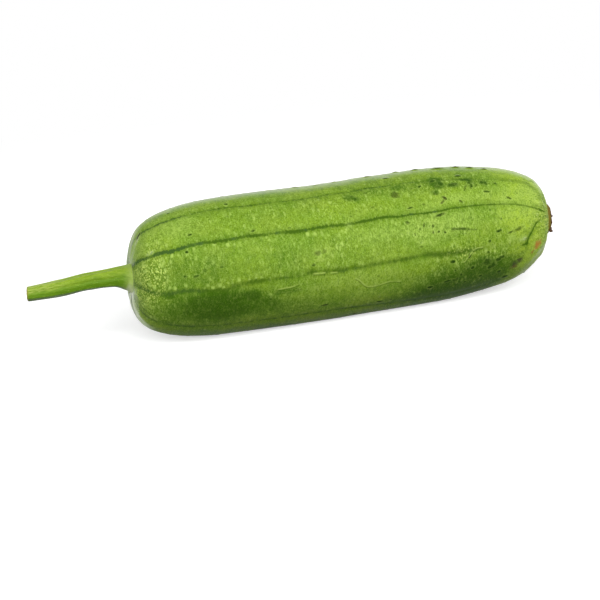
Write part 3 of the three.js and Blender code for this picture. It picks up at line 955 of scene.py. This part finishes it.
def make_stalk(colours):
    """The stem's fresh green skin, with fine lines along it and a paler zone where it meets the fruit; painted
    light on its upper side, a painted highlight near the cut and painted shade underneath.
    """
    material, tree, shader, position = new_material("stem_skin")
    along = kept(tree, "along")
    upward = kept(tree, "upward")
    around = kept(tree, "around", "Vector")
    fibres = cloud(around, 11.0, 4.0, 0.62)
    fine = cloud(around, 34.0, 2.0, 0.6)
    mottled = cloud(position, 260.0, 3.0, 0.6)
    # Painted light: the stem's upper side lighter, and a painted highlight on top towards the cut.
    painted_top_light = ease(upward + (cloud(position, 110.0, 2.0, 0.5) - 0.5), -0.35, 0.75)
    painted_highlight = ease(along, 0.55, 0.85) * ease(upward, 0.0, 0.5) * 0.7
    base = ease(along + (mottled - 0.5) * 0.1, 0.15, 0.05)
    # The lip at the base: its lower side turns whitish, partly the stem's own pale spur and partly painted
    # light lifting the shaded underside.
    lip = ease(along, 0.09, 0.058) * ease(upward, 0.6, -0.5, 0.15, 0.75)
    lip_colour = blend(ease(upward, 0.0, -0.7), colours.fleck_green, colours.palest_and_rim_light)
    layers = [
        # Painted highlight along the top of the stem towards the cut.
        (painted_highlight * ease(fibres, 0.4, 0.6), colours.stem_pale),
        # Painted shade: the stem's underside darker.
        (ease(upward, -0.55, -0.95, 0.0, 0.7), colours.stem_dark),
        (ease(fibres, 0.5, 0.34, 0.0, 0.45), colours.stem_dark),
        (ease(fibres, 0.55, 0.72, 0.0, 0.4), colours.stem_pale),
        (ease(fine, 0.5, 0.36, 0.0, 0.3), colours.stem_dark),
        (base * ease(mottled, 0.4, 0.6, 0.45, 0.95), colours.stem_ring),
        # Pith colour under the base and the lip: the whitish spur, partly the stem's own and partly painted
        # light on its shaded underside.
        (ease(along, 0.1, 0.04) * ease(upward, -0.35, -0.8) * 0.8, colours.pith),
        (lip, lip_colour),
        (flecks(position, 620.0, 0.4, 0.5) * base * 0.5, colours.stem_light),
        (flecks(position, 900.0, 0.4, 0.3) * 0.3, colours.stem_pale),
        (ease(along + mottled * 0.03, 0.995, 1.015, 0.0, 0.6), colours.stem_worn),
    ]
    height = fibres * 1.1 + grain(stretched(position, (0.25, 1.0, 1.0)), 900.0, 0.5)
    surface = {
        "Base Color": layered(blend(painted_top_light, colours.stem_green, colours.stem_light), layers),
        "Roughness": ease(fibres, 0.3, 0.7, 0.36, 0.5),
        "Specular IOR Level": 0.18,
        "Sheen Weight": 0.04,
        "Sheen Roughness": 0.4,
        "Normal": bumped(height, 0.6, 0.0004),
    }
    fill(shader, surface)
    return material


def make_cut(colours):
    """The stem's cut face: pale wet pith, a ring of darker strands and a green rim."""
    material, tree, shader, position = new_material("stem_cut")
    out = kept(tree, "cut_reach")
    bundles = ease(cloud(kept(tree, "around", "Vector"), 3.2, 1.0, 0.5), 0.45, 0.6)
    strands = ease(abs(out - 0.68), 0.16, 0.02) * bundles
    pith = blend(ease(cloud(position, 700.0, 3.0, 0.6), 0.35, 0.65), colours.pith, colours.pith_shade)
    layers = [(strands, colours.stem_ring), (ease(out, 0.84, 0.97), colours.stem_green)]
    surface = {
        "Base Color": layered(pith, layers),
        "Roughness": ease(bundles, 0.0, 1.0, 0.45, 0.6),
        "Normal": bumped(grain(position, 1500.0, 0.5), 0.7, 0.0004),
    }
    fill(shader, surface)
    return material


def make_dry(colours):
    """The dry, corky brown of the blossom scar."""
    material, _, shader, position = new_material("dry_scar")
    cork = cloud(position, 520.0, 4.0, 0.65)
    brown = blend(ease(cork, 0.36, 0.62), colours.scar_dark, colours.scar_brown)
    surface = {
        "Base Color": blend(flecks(position, 800.0, 0.45, 0.35) * 0.55, brown, colours.scar_pale),
        "Roughness": ease(cork, 0.3, 0.7, 0.95, 0.75),
        "Normal": bumped(grain(position, 1300.0, 0.5), 1.0, 0.0006),
    }
    fill(shader, surface)
    return material


def watched(tree):
    """One where the camera, a reflection or a clear piece looks, and nought where light only bounces."""
    rays = tree.nodes.new("ShaderNodeLightPath").outputs
    camera, glossy, clear = [Value(rays[f"Is {kind} Ray"]) for kind in ("Camera", "Glossy", "Transmission")]
    return camera.most(glossy.most(clear))


def make_floor():
    """A white floor that keeps the shadow near the gourd and runs out to plain white."""
    material = bpy.data.materials.new("white_floor")
    material.use_nodes = True
    tree = material.node_tree
    tree.nodes.clear()
    position = placed(tree, "ShaderNodeTexCoord", output="Object")
    seen = watched(tree)
    tooth = ease(cloud(position, 60.0, 3.0, 0.5), 0.3, 0.7)
    paper = blend(tooth, (0.64, 0.64, 0.645), (0.66, 0.66, 0.662))
    shown = blend(seen, (0.24, 0.24, 0.24), paper)
    matt = placed(tree, "ShaderNodeBsdfDiffuse", {"Color": shown, "Roughness": 1.0})
    lift = placed(tree, "ShaderNodeEmission", {"Color": WHITE, "Strength": seen * 0.5})
    lit = placed(tree, "ShaderNodeAddShader", {0: matt, 1: lift})
    plain = placed(tree, "ShaderNodeEmission", {"Color": WHITE, "Strength": 1.0})
    reach = placed(tree, "ShaderNodeVectorMath", {0: position}, "Value", operation="LENGTH")
    mixed = placed(tree, "ShaderNodeMixShader", {0: ease(reach, 0.3, 0.75) * seen, 1: lit, 2: plain})
    place(tree, "ShaderNodeOutputMaterial", {"Surface": mixed})
    return material


# ---------------------------------------------------------------- settings


def colour_setting(name, description, *shown):
    """A colour to set, given as it looks, from 0 to 255."""
    colour = srgb(*shown)
    return FloatVectorProperty(
        name=name, description=description, subtype="COLOR", size=3, min=0, max=1, default=colour
    )


def length_setting(name, description, mm):
    """A length to set, given in mm."""
    metres = mm * MM
    return FloatProperty(
        name=name, description=description, default=metres, unit="LENGTH", subtype="DISTANCE"
    )


def angle_setting(name, description, degrees):
    """An angle to set, given in degrees."""
    turn = math.radians(degrees)
    return FloatProperty(name=name, description=description, default=turn, subtype="ANGLE")


class GourdColours(bpy.types.PropertyGroup):
    """The gourd's colours."""

    skin_green: colour_setting("Skin green", "Most of the skin", 127, 159, 31)
    deep_green: colour_setting("Deep green", "The darker clouds in the skin", 102, 141, 24)
    shade_green: colour_setting("Shade green", "The darkest mottling of the skin", 62, 102, 4)
    # Dark green paints the darkest patches, which low on the side are partly painted shadow.
    dark_green: colour_setting("Dark green", "The darkest patches of the skin", 42, 78, 2)
    olive_green: colour_setting("Olive green", "The yellower clouds in the skin", 140, 162, 56)
    # Pale green also carries part of the painted reflection along the edges.
    pale_green: colour_setting("Pale green", "The paler mottling of the skin", 154, 184, 76)
    # Painted reflection: this whitish green paints the light along the top and the other edges, and the palest
    # spots of the skin.
    palest_and_rim_light: colour_setting("Bloom", "The whitish bloom along the top", 206, 218, 168)
    speck_green: colour_setting("Specks", "The fine bright specks round the stem and the nub", 214, 232, 118)
    nub_green: colour_setting("Nub", "The yellower skin of the nub", 174, 188, 52)
    fleck_green: colour_setting("Flecks", "The small pale flecks", 178, 206, 100)
    blossom_green: colour_setting("Blossom end", "The yellower green round the blossom scar", 186, 214, 60)
    shoulder_green: colour_setting("Shoulder", "The greyer green round the stem", 148, 170, 88)
    line_green: colour_setting("Line green", "The dark lines", 60, 92, 12)
    line_blue: colour_setting("Line blue", "The bluish parts of the dark lines", 57, 88, 38)
    wart_green: colour_setting("Wart green", "The darker warts", 38, 66, 10)
    wart_brown: colour_setting("Wart brown", "The browner warts", 82, 74, 42)
    scratch_tan: colour_setting("Scratches", "Healed scratches", 174, 198, 96)
    bruise_purple: colour_setting("Bruises", "Brownish purple bruises", 66, 62, 44)
    bruise_orange: colour_setting("Rust", "Rust-coloured bruises", 184, 114, 56)
    stem_green: colour_setting("Stem green", "Most of the stem", 96, 138, 6)
    # Stem light also paints the light on the stem's upper side.
    stem_light: colour_setting("Stem light", "The lighter parts of the stem", 140, 170, 40)
    # Stem dark also paints the shade on the stem's underside.
    stem_dark: colour_setting("Stem dark", "The lines along the stem", 66, 106, 6)
    # Stem pale also paints a highlight along the top of the stem near its cut.
    stem_pale: colour_setting("Stem pale", "The pale streaks along the stem", 182, 198, 96)
    stem_ring: colour_setting("Stem base", "The paler zone where the stem meets the fruit", 160, 184, 86)
    stem_worn: colour_setting("Stem edge", "The drying edge of the stem's cut", 150, 118, 60)
    pith: colour_setting("Pith", "The stem's cut face", 206, 214, 150)
    pith_shade: colour_setting("Pith shade", "The darker parts of the cut face", 178, 188, 108)
    scar_brown: colour_setting("Scar brown", "The dry blossom scar", 110, 80, 38)
    scar_dark: colour_setting("Scar dark", "The cracks of the blossom scar", 56, 36, 18)
    scar_pale: colour_setting("Scar pale", "The pale crumbs of the blossom scar", 158, 128, 78)


class GourdForm(bpy.types.PropertyGroup):
    """The gourd's sizes."""

    fruit_sides: IntProperty(
        name="Fruit sides", description="Sides of the fruit's first circle", default=64, min=12
    )
    stem_sides: IntProperty(
        name="Stem sides", description="Sides of the stem's first circle", default=40, min=10
    )
    unevenness: length_setting("Unevenness", "How far the skin swells and sinks", 0.45)
    groove: length_setting("Groove", "How deep the dark lines lie", 0.16)
    rib: length_setting("Stem rib", "How far the stem's ribs stand out", 0.3)
    crust: length_setting("Crust", "How rough the blossom scar is", 0.45)


class StageSetup(bpy.types.PropertyGroup):
    """The camera and the lights."""

    camera_azimuth: angle_setting("Azimuth", "The camera's turn from the front", -12.5)
    camera_height: angle_setting("Elevation", "The camera's angle above level", 15)
    camera_roll: angle_setting("Roll", "The camera's roll", 5.59)
    camera_distance: length_setting("Distance", "From the camera to what it looks at", 1250)
    key_power: FloatProperty(
        name="Key light", description="Power of the large front lamp", default=32.0, unit="POWER"
    )
    side_power: FloatProperty(
        name="Side lights", description="Power of each side lamp", default=8.0, unit="POWER"
    )
    sky: FloatProperty(name="Fill", description="Strength of the even light all round", default=0.33, min=0)


# ---------------------------------------------------------------- pieces


def finish(piece, node, slot, *materials):
    """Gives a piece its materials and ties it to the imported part."""
    for material in materials:
        piece.data.materials.append(material)
    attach(piece, "root")
    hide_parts(node)


class GOURD_OT_effects(bpy.types.Operator):
    """Makes the shader effects that the materials share"""

    bl_idname = "gourd.effects"
    bl_label = "Shared Effects"

    def execute(self, context):
        make_effects()
        return {"FINISHED"}


class GOURD_OT_fruit(bpy.types.Operator):
    """Models the fruit's skin with its lines, warts and scars"""

    bl_idname = "gourd.fruit"
    bl_label = "Fruit Skin"

    def execute(self, context):
        form = context.scene.gourd_form
        outline = np.array(OUTLINE, float) * [LENGTH, RADIUS]
        travelled = np.concatenate([[0], np.cumsum(np.hypot(*np.diff(outline, axis=0).T))])
        whole = travelled[-1]
        stops = np.concatenate(
            [
                np.arange(3.5, 60, 2.7),
                np.arange(60.5, whole - 66, 4.5),
                np.arange(whole - 64, whole - 15, 2.7),
                np.arange(whole - 13.6, whole - 2, 1.05),
            ]
        )

        def on_outline(travel):
            """The outline's x and radius, mm, at distances travelled along it."""
            return [smooth_curve(np.stack([travelled, column], axis=1), travel) for column in outline.T]

        skin = loft("fruit_skin", list(zip(*on_outline(stops))), form.fruit_sides, 2)

        points = points_of(skin)
        outward = outward_of(skin)
        along = np.clip(points[:, 0], 0, LENGTH)
        reach = np.hypot(points[:, 1], points[:, 2])
        angle = np.degrees(np.arctan2(points[:, 2], -points[:, 1]))
        where = (along, angle, reach)
        warts = all_warts()
        bumps = all_bumps()
        distance, width, dark, beads, spread = nearest_line(*where)
        wart_field, wart_dark, wart_brown = nearest_mark(warts, where, DARKNESS, BROWNNESS)
        bruise, bruise_red = nearest_mark(BRUISES, where, BRUISE_RED)
        scratch, scratch_pale = scratch_field(*where)

        turn = np.stack([np.cos(np.radians(angle)), np.sin(np.radians(angle)), along / 60], axis=1)
        height = 0.05 * noise_over(points, (2.4, 5.5, 5.5), 9.7)
        for share, size, shift in UNEVENNESS:
            height += share * form.unevenness / MM * noise_over(points, size, shift)
        for middle, length, rise, start, full in SWELLINGS:
            height += rise * ramp(turn[:, 1], start, full - start) * hump(along, middle, length)
        height -= form.groove / MM * hump(distance, 0, 2.6)
        height += np.maximum(mark_height(warts, where, 1.3), mark_height(bumps, where, 1.6))
        pleat = hump(along, 0, 5) * ramp(reach, 8, 5)
        height += 0.4 * pleat * noise_over(turn, (0.22, 0.22, 1), 3.3)
        height -= 0.4 * hump(reach, 9.4, 1.1) * (along < 3)
        height += 0.3 * hump(along, 252.5, 4.5) * noise_over(turn, (0.2, 0.2, 1), 8.8)

        fine = np.linspace(0, whole, 900)
        fine_x, fine_r = on_outline(fine)
        first = fine_x < LENGTH / 2
        from_stem = np.interp(along + reach, (fine_x + fine_r)[first], fine[first])
        from_blossom = np.interp(along - reach, (fine_x - fine_r)[~first], fine[~first])
        length_on_skin = np.where(along < LENGTH / 2, from_stem, from_blossom)
        skin_map = np.stack([length_on_skin, RADIUS * turn[:, 0], RADIUS * turn[:, 1]], axis=1) * MM
        points = points + outward * height[:, None]
        move_points(skin, seated(on_fruit_line(points)))

        marks = {
            "along": along / LENGTH,
            "skin_map": skin_map,
            "upward": turn[:, 1],
            "patches": patch_field(all_patches(PATCHES, 7, 34, [0.6, 0.45, -0.5]), where),
            "busy": patch_field(all_patches(BUSY, 8, 20, [0.7, 0.9]), where),
            "line_distance": np.clip(distance, -8, 8),
            "line_width": width,
            "line_dark": dark,
            "line_beads": beads,
            "line_spread": spread,
            "wart_field": wart_field,
            "wart_dark": wart_dark,
            "wart_brown": wart_brown,
            "bump_field": nearest_mark(bumps, where)[0],
            "bruise_field": bruise,
            "bruise_red": bruise_red,
            "scratch_field": scratch,
            "scratch_pale": scratch_pale,
        }
        for name, values in marks.items():
            store(skin, name, values)
        finish(skin, "fruit_body", "green_skin", make_skin(context.scene.gourd_colours))
        return {"FINISHED"}


def stem_line(x):
    """The stem's centre line, mm in the fruit's own axes, for x measured out from the shoulder."""
    route = np.array(STEM_ROUTE, float)
    side = smooth_curve(route[:, [0, 1]], x)
    rise = smooth_curve(route[:, [0, 2]], x)
    return np.stack([-x, side, rise], axis=1)


class GOURD_OT_stem(bpy.types.Operator):
    """Models the ribbed stem, its flare onto the shoulder and its cut face"""

    bl_idname = "gourd.stem"
    bl_label = "Stem"

    def execute(self, context):
        form = context.scene.gourd_form
        tip = STEM_OUTLINE[-1][0]
        end = tip + 0.5
        stops = np.concatenate([np.arange(0, 8, 0.9), np.arange(8.6, tip - 1, 2.4), [tip - 0.9, tip]])
        rings = list(zip(stops, smooth_curve(STEM_OUTLINE, stops)))
        rings += [(end + past, radius) for past, radius in STEM_CUT]
        stem = loft("stem_stalk", rings, form.stem_sides, 2)

        points = points_of(stem)
        outward = outward_of(stem)
        along = points[:, 0]
        reach = np.hypot(points[:, 1], points[:, 2])
        angle = np.arctan2(points[:, 2], points[:, 1])
        wall = np.clip(1 - np.abs(outward[:, 0]) * 1.3, 0, 1) * (along < end - 0.3)
        twist = angle + 0.25 * along / tip
        fade = np.clip((along - 2) / 10, 0.25, 1)
        height = form.rib / MM * np.cos(5 * twist) * fade
        height += 0.35 * form.rib / MM * np.cos(11 * twist + 1.0) * fade
        turn = np.stack([np.cos(twist), np.sin(twist), along / 45], axis=1)
        height += 0.12 * noise_over(turn, (0.2, 0.2, 1), 2.2)
        height += 0.16 * noise_over(points, (9, 5, 5), 6.1)
        frayed = (along > end - 0.35) & (reach > 1)
        height = height * wall + np.where(frayed, 0.16 * noise_over(points, (0.6, 0.9, 0.9), 1.7), 0)
        points = points + outward * height[:, None]
        moved = bend(points * [1, -1, 1], stem_line, points[:, 0] - STEM_BASE)
        move_points(stem, seated(moved))

        store(stem, "along", np.clip(along / end, 0, 1))
        store(stem, "around", np.stack([turn[:, 0], turn[:, 1], along / 40], axis=1))
        store(stem, "cut_reach", reach / 4.25)
        store(stem, "upward", outward[:, 2])
        colours = context.scene.gourd_colours
        finish(stem, "stem", "green_stalk", make_stalk(colours), make_cut(colours))
        for face in stem.data.polygons:
            if all(along[v] > end - 0.42 and reach[v] < 4.02 for v in face.vertices):
                face.material_index = 1
        pick(stem)
        open_mesh()
        close_mesh()
        return {"FINISHED"}


class GOURD_OT_scar(bpy.types.Operator):
    """Models the dry disc on the nub and the stumps and crumbs of the withered flower"""

    bl_idname = "gourd.scar"
    bl_label = "Blossom Scar"

    def execute(self, context):
        crust = context.scene.gourd_form.crust / MM
        scar = loft("blossom_disc", [(LENGTH + past, radius) for past, radius in SCAR_OUTLINE], 40, 2)
        points = points_of(scar)
        outward = outward_of(scar)
        reach = np.hypot(points[:, 1], points[:, 2])
        angle = np.arctan2(points[:, 2], -points[:, 1])
        height = 0.3 * np.cos(5 * angle + 0.6) * ramp(reach, 5, 3) * (points[:, 0] > LENGTH)
        height += crust * noise_over(points, (1.8, 1.8, 1.8), 1.1)
        height += 0.5 * crust * noise_over(points, (0.8, 0.8, 0.8), 4.4)
        points = points + outward * height[:, None]
        move_points(scar, seated(on_fruit_line(points)))
        finish(scar, "blossom_scar", "dry_scar", make_dry(context.scene.gourd_colours))
        return {"FINISHED"}


class GOURD_OT_crumbs(bpy.types.Operator):
    """Models one dry crumb of the flower and copies it, each copy with its own shape, round the scar"""

    bl_idname = "gourd.crumbs"
    bl_label = "Dry Crumbs"

    def execute(self, context):
        start_fresh()
        bpy.ops.mesh.primitive_ico_sphere_add(subdivisions=3, radius=MM, location=(0, 0, 0))
        crumb = context.object
        open_mesh()
        bpy.ops.transform.resize(value=(1.0, 0.55, 0.8), center_override=(0, 0, 0))
        bpy.ops.object.mode_set(mode="OBJECT")
        shape = points_of(crumb)
        chance = np.random.default_rng(5)
        copies = []
        for number, (degrees, reach, size) in enumerate(CRUMBS):
            copy = crumb.copy()
            copy.data = crumb.data.copy()
            name_piece(copy, f"dry_crumb_{number + 1}")
            context.collection.objects.link(copy)
            rough = 1 + 0.55 * noise_over(shape, (0.7, 0.7, 0.7), 3.0 * number)
            spin = Matrix.Rotation(chance.uniform(0, 6.28), 3, Vector(chance.normal(size=3)).normalized())
            turned = (shape * rough[:, None] * size) @ np.array(spin).T
            turn = math.radians(degrees)
            centre = (LENGTH + chance.uniform(-0.9, 0.6), -reach * math.cos(turn), reach * math.sin(turn))
            move_points(copy, seated(on_fruit_line(turned + centre)))
            copies.append(copy)
        bpy.data.objects.remove(crumb)
        pick(*copies)
        bpy.ops.object.join()
        crumbs = context.object
        name_piece(crumbs, "blossom_crumbs")
        bpy.ops.object.shade_smooth()
        crumbs.data.materials.append(bpy.data.materials["dry_scar"])
        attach(crumbs, "root")
        return {"FINISHED"}


class GOURD_OT_stage(bpy.types.Operator):
    """Sets the floor, the lamps, the even light and the camera"""

    bl_idname = "gourd.stage"
    bl_label = "Stage"

    def execute(self, context):
        setup = context.scene.gourd_stage
        start_fresh()
        bpy.ops.mesh.primitive_plane_add(size=14, location=(0, 0, 0))
        floor = context.object
        floor.name = "floor"
        floor.data.materials.append(make_floor())
        self.lamp("key_lamp", (0.02, -1.62, 1.0), (2.4, 1.2), setup.key_power)
        self.lamp("left_lamp", (-1.35, -0.75, 0.75), (1.0, 1.0), setup.side_power)
        self.lamp("right_lamp", (1.35, -0.75, 0.75), (1.0, 1.0), setup.side_power)
        self.sky(context, setup.sky)
        self.camera(context, setup)
        context.scene.view_settings.view_transform = "Standard"
        return {"FINISHED"}

    def lamp(self, name, location, size, power):
        """Adds an area lamp that looks at the gourd."""
        start_fresh()
        bpy.ops.object.light_add(type="AREA", location=location)
        lamp = bpy.context.object
        lamp.name = name
        lamp.data.shape = "RECTANGLE"
        lamp.data.size, lamp.data.size_y = size
        lamp.data.energy = power
        aim = Vector((0.02, 0, 0.03)) - Vector(location)
        lamp.rotation_euler = aim.to_track_quat("-Z", "Y").to_euler()

    def sky(self, context, strength):
        """Sets an even light all round that is plain white where it is seen."""
        world = bpy.data.worlds.new("even_light")
        world.use_nodes = True
        tree = world.node_tree
        tree.nodes.clear()
        soft = placed(tree, "ShaderNodeBackground", {"Color": WHITE, "Strength": strength})
        white = placed(tree, "ShaderNodeBackground", {"Color": WHITE, "Strength": 1.0})
        mixed = placed(tree, "ShaderNodeMixShader", {0: watched(tree), 1: soft, 2: white})
        place(tree, "ShaderNodeOutputWorld", {"Surface": mixed})
        context.scene.world = world

    def camera(self, context, setup):
        """Sets the camera, turned, raised and rolled round what it looks at."""
        turn, height, roll = setup.camera_azimuth, setup.camera_height, setup.camera_roll
        back = Vector(
            (math.sin(turn) * math.cos(height), -math.cos(turn) * math.cos(height), math.sin(height))
        )
        right = Vector((math.cos(turn), math.sin(turn), 0))
        upward = back.cross(right)
        rolled_right = math.cos(roll) * right - math.sin(roll) * upward
        rolled_up = math.sin(roll) * right + math.cos(roll) * upward
        target = SHOULDER + Vector((99.76, 0, -27.3)) * MM
        data = bpy.data.cameras.new("camera")
        data.lens = 126
        data.sensor_width = 36
        camera = bpy.data.objects.new("camera", data)
        context.collection.objects.link(camera)
        turned = Matrix((rolled_right, rolled_up, back)).transposed().to_4x4()
        camera.matrix_world = Matrix.Translation(target + setup.camera_distance * back) @ turned
        context.scene.camera = camera


class GOURD_PT_sidebar(bpy.types.Panel):
    """The gourd's settings and the steps that build it"""

    bl_idname = "GOURD_PT_sidebar"
    bl_label = "Sponge Gourd"
    bl_space_type = "VIEW_3D"
    bl_region_type = "UI"
    bl_category = "Gourd"

    def draw(self, context):
        layout = self.layout
        for step in STEPS:
            layout.operator(step.bl_idname)
        for settings in (context.scene.gourd_form, context.scene.gourd_colours, context.scene.gourd_stage):
            box = layout.box()
            for name in settings.__annotations__:
                box.prop(settings, name)


STEPS = (GOURD_OT_effects, GOURD_OT_fruit, GOURD_OT_stem, GOURD_OT_scar, GOURD_OT_crumbs, GOURD_OT_stage)
CLASSES = (GourdColours, GourdForm, StageSetup, *STEPS, GOURD_PT_sidebar)


def register():
    """Adds the settings, the steps and the panel to Blender."""
    for cls in CLASSES:
        bpy.utils.register_class(cls)
    bpy.types.Scene.gourd_colours = PointerProperty(type=GourdColours)
    bpy.types.Scene.gourd_form = PointerProperty(type=GourdForm)
    bpy.types.Scene.gourd_stage = PointerProperty(type=StageSetup)


def unregister():
    """Takes them out again."""
    del bpy.types.Scene.gourd_stage
    del bpy.types.Scene.gourd_form
    del bpy.types.Scene.gourd_colours
    for cls in reversed(CLASSES):
        bpy.utils.unregister_class(cls)


def main():
    """Builds everything step by step."""
    register()
    bpy.ops.gourd.effects()
    bpy.ops.gourd.fruit()
    bpy.ops.gourd.stem()
    bpy.ops.gourd.scar()
    bpy.ops.gourd.crumbs()
    bpy.ops.gourd.stage()


if __name__ == "__main__":
    main()
